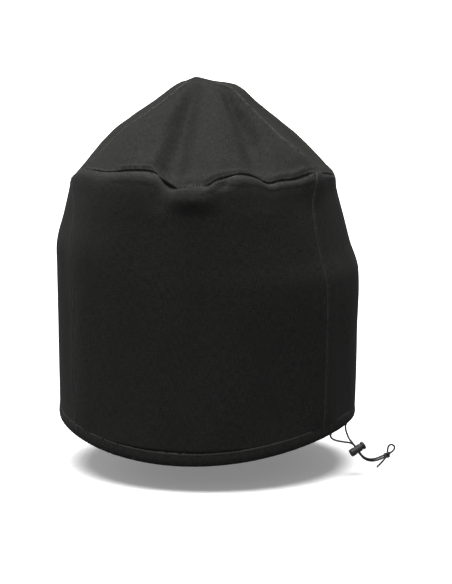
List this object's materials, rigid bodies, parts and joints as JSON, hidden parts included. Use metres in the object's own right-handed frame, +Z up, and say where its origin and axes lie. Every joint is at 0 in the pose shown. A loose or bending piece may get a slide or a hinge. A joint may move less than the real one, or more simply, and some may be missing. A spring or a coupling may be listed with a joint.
{
  "type": "round grill cover",
  "caption": "Round fitted fabric cover for an outdoor kettle grill: gored crown, straight skirt, drawcord hem, elastic cord ends and a sliding push-button cord lock.",
  "frame": {"origin": "inside top of the crown, where the lid handle of the grill holds the cover up", "axes": "+Z up, -Y the front, +X the side with the cord lock"},
  "size_m": [0.7555, 0.611, 0.8342],
  "materials": {
    "crown_fabric": "matt woven polyester",
    "skirt_fabric": "matt woven polyester",
    "hem_fabric": "matt woven polyester, folded and topstitched",
    "seam_tape": "satin coated tape",
    "elastic_cord": "braided elastic",
    "eyelet_metal": "black painted",
    "lock_plastic": "moulded, satin",
    "button_plastic": "moulded, satin",
    "spring_steel": "wire"
  },
  "bodies": {
    "cover": {"crown_front": "crown_fabric", "crown_right": "crown_fabric", "crown_back": "crown_fabric", "crown_left": "crown_fabric", "skirt_front": "skirt_fabric", "skirt_right": "skirt_fabric", "skirt_back": "skirt_fabric", "skirt_left": "skirt_fabric", "hem_channel": "hem_fabric", "crown_seam_tape_front_right": "seam_tape", "crown_seam_tape_back_right": "seam_tape", "crown_seam_tape_back_left": "seam_tape", "crown_seam_tape_front_left": "seam_tape", "skirt_seam_tape_front_right": "seam_tape", "skirt_seam_tape_back_right": "seam_tape", "skirt_seam_tape_back_left": "seam_tape", "skirt_seam_tape_front_left": "seam_tape", "shoulder_seam_tape": "seam_tape", "drawcord": "elastic_cord", "cord_end_front": "elastic_cord", "cord_end_rear": "elastic_cord", "cord_knot": "elastic_cord", "cord_loop": "elastic_cord", "cord_tail": "elastic_cord", "eyelet_front": "eyelet_metal", "eyelet_rear": "eyelet_metal", "cord_pull_front": "elastic_cord", "cord_pull_rear": "elastic_cord"},
    "cord_lock": {"lock_barrel": "lock_plastic", "lock_spring": "spring_steel"},
    "button": {"lock_button": "button_plastic"}
  },
  "joints": [
    {"name": "lock_slide", "type": "slide", "parent": "cover", "child": "cord_lock", "axis": [0.5577, -0.065, -0.8275], "range_m": [-0.03, 0.02], "deforming": ["cord_end_front", "cord_end_rear", "cord_pull_front", "cord_pull_rear"]},
    {"name": "button_press", "type": "slide", "parent": "cord_lock", "child": "button", "axis": [-0.7201, -0.5331, -0.4441], "range_m": [0, 0.004], "stiffness_N_per_m": 600, "springref_m": -0.006, "deforming": ["lock_spring"]}
  ]
}
